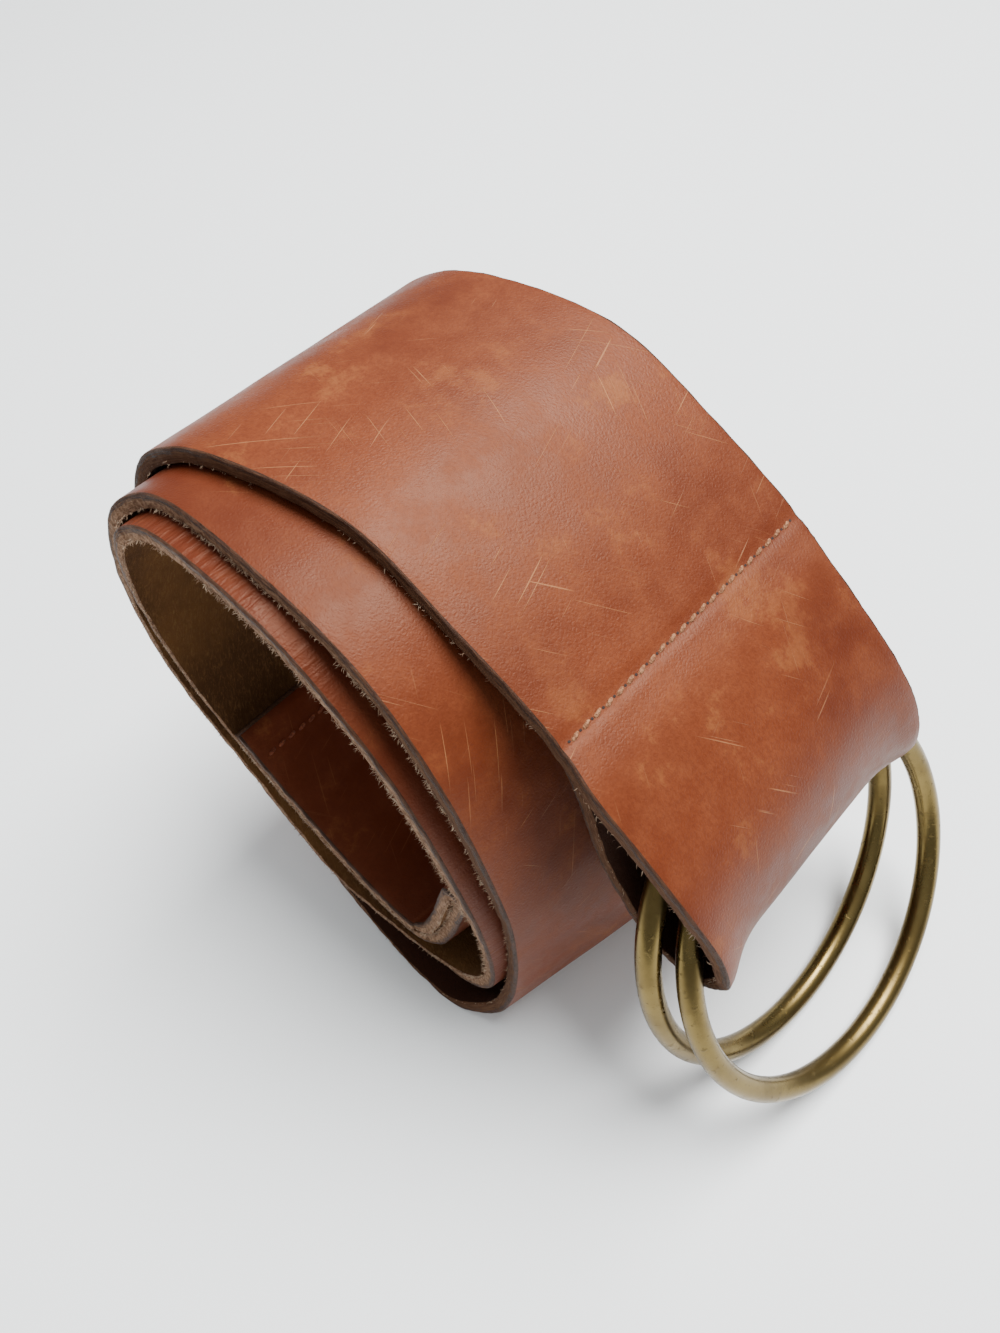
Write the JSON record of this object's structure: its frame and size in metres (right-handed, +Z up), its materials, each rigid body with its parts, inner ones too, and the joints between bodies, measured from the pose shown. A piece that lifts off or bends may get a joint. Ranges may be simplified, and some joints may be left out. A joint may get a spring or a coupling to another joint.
{
  "type": "wide leather belt",
  "caption": "Wide leather waist belt rolled in a loose leaning coil, its outer end folded into a stitched loop that holds a pair of plain round brass rings.",
  "frame": {"origin": "on the floor, under the middle of the object's box", "axes": "+X along the coil towards the rings, +Y across the belt away from the viewer, +Z up"},
  "size_m": [0.1556, 0.0986, 0.1165],
  "materials": {
    "tan_leather": "waxed, smooth grain outside and suede inside",
    "antique_brass": "polished antique"
  },
  "bodies": {
    "root": {"strap": "tan_leather", "ring_front": "antique_brass", "ring_back": "antique_brass"}
  },
  "joints": []
}
